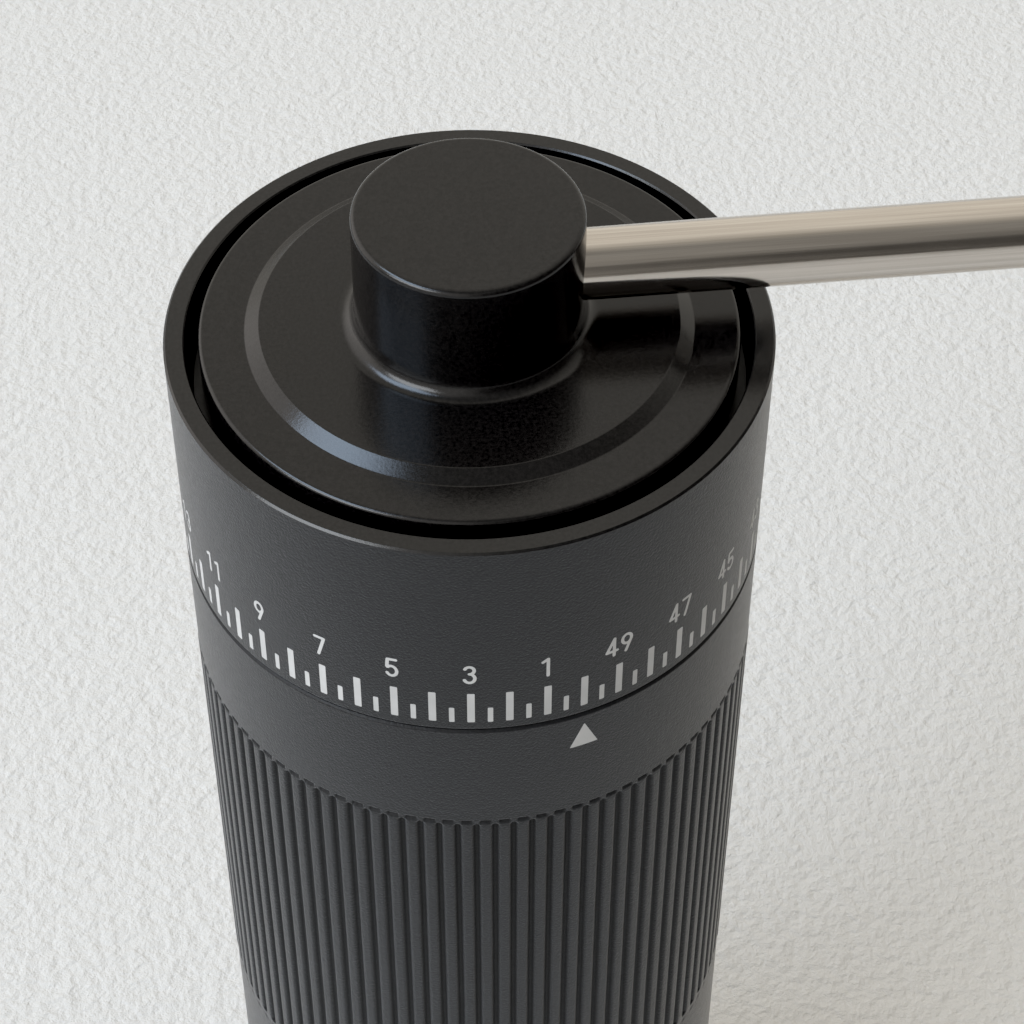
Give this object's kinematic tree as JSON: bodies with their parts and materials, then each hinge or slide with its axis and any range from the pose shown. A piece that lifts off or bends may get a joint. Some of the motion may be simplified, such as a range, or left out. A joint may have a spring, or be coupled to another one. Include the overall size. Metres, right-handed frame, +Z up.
{
  "type": "hand crank coffee grinder",
  "caption": "Slim black cylindrical hand coffee grinder with a numbered grind dial, reeded grip, conical burrs, lift-off crank lid with a straight polished arm and a magnetic catch cup.",
  "frame": {"origin": "centre of the underside of the base pad, on the table", "axes": "+Z up along the grinder's main axis, +X along the crank arm at rest, +Y by the right-hand rule"},
  "size_m": [0.1895, 0.0536, 0.1995],
  "materials": {
    "black_anodised": "fine bead-blasted, black anodised",
    "black_anodised_inner": "machined, black anodised",
    "lid_black": "smooth satin black anodised",
    "polished_steel": "polished stainless steel with drawing lines along the bar",
    "shaft_steel": "turned stainless steel",
    "burr_steel": "hardened, ground stainless steel",
    "bearing_steel": "ground and polished bearing steel",
    "spring_steel": "bright drawn spring steel",
    "black_steel": "black oxide",
    "raw_aluminium": "machined, clear anodised",
    "nickel": "nickel plated magnet",
    "bronze": "sintered bronze",
    "slide_plastic": "low friction plastic",
    "seal_rubber": "moulded seal",
    "pad_rubber": "fine ribbed rubber",
    "knob_black": "moulded, fine matt texture",
    "knob_cap_black": "moulded, satin"
  },
  "bodies": {
    "body": {"body_shell": "black_anodised", "burr_carrier": "raw_aluminium", "ring_burr": "burr_steel", "burr_retaining_ring": "black_anodised_inner", "preload_spring": "spring_steel", "guide_pins": "bearing_steel", "dial_retaining_ring": "spring_steel", "dial_slide_washer": "slide_plastic", "detent_balls": "bearing_steel", "detent_springs": "spring_steel", "body_magnets": "nickel"},
    "dial": {"dial_ring": "black_anodised"},
    "carriage": {"bearing_carriage": "black_anodised_inner", "upper_bearing_outer_race": "bearing_steel", "upper_bearing_balls": "bearing_steel", "upper_bearing_seals": "seal_rubber", "bearing_circlip": "spring_steel", "lower_bearing_outer_race": "bearing_steel", "lower_bearing_balls": "bearing_steel", "lower_bearing_seals": "seal_rubber"},
    "drive": {"drive_shaft": "shaft_steel", "cone_burr": "burr_steel", "upper_bearing_inner_race": "bearing_steel", "lower_bearing_inner_race": "bearing_steel", "shaft_clip": "spring_steel", "burr_spacer": "shaft_steel", "burr_washer": "shaft_steel", "burr_nut": "shaft_steel"},
    "crank": {"crank_lid": "lid_black", "drive_socket": "shaft_steel", "crank_arm": "polished_steel", "arm_grub_screw": "black_steel", "knob_axle": "polished_steel", "knob_washer": "slide_plastic", "knob_lock_nut": "polished_steel"},
    "knob": {"knob_body": "knob_black", "knob_bush": "bronze", "knob_cap": "knob_cap_black"},
    "cup": {"catch_cup": "black_anodised", "base_pad": "pad_rubber", "cup_magnets": "nickel"}
  },
  "joints": [
    {"name": "dial_turn", "type": "hinge", "parent": "body", "child": "dial", "pos_m": [0, 0, 0.1445], "axis": [0, 0, 1], "range_deg": [0, 720]},
    {"name": "carriage_lift", "type": "slide", "parent": "body", "child": "carriage", "axis": [0, 0, 1], "range_m": [-0.00201, 0], "deforming": ["preload_spring"]},
    {"name": "drive_spin", "type": "hinge", "parent": "carriage", "child": "drive", "pos_m": [0, 0, 0.1475], "axis": [0, 0, 1], "continuous": true},
    {"name": "crank_lift", "type": "slide", "parent": "drive", "child": "crank", "axis": [0, 0, 1], "range_m": [0, 0.06]},
    {"name": "knob_spin", "type": "hinge", "parent": "crank", "child": "knob", "pos_m": [0.15, 0, 0.18], "axis": [0, 0, 1], "continuous": true},
    {"name": "cup_pull", "type": "slide", "parent": "body", "child": "cup", "axis": [0, 0, -1], "range_m": [0, 0.055]}
  ],
  "couplings": [
    {"joint": "carriage_lift", "follows": "dial_turn", "m_per_rad": -0.00015915}
  ]
}
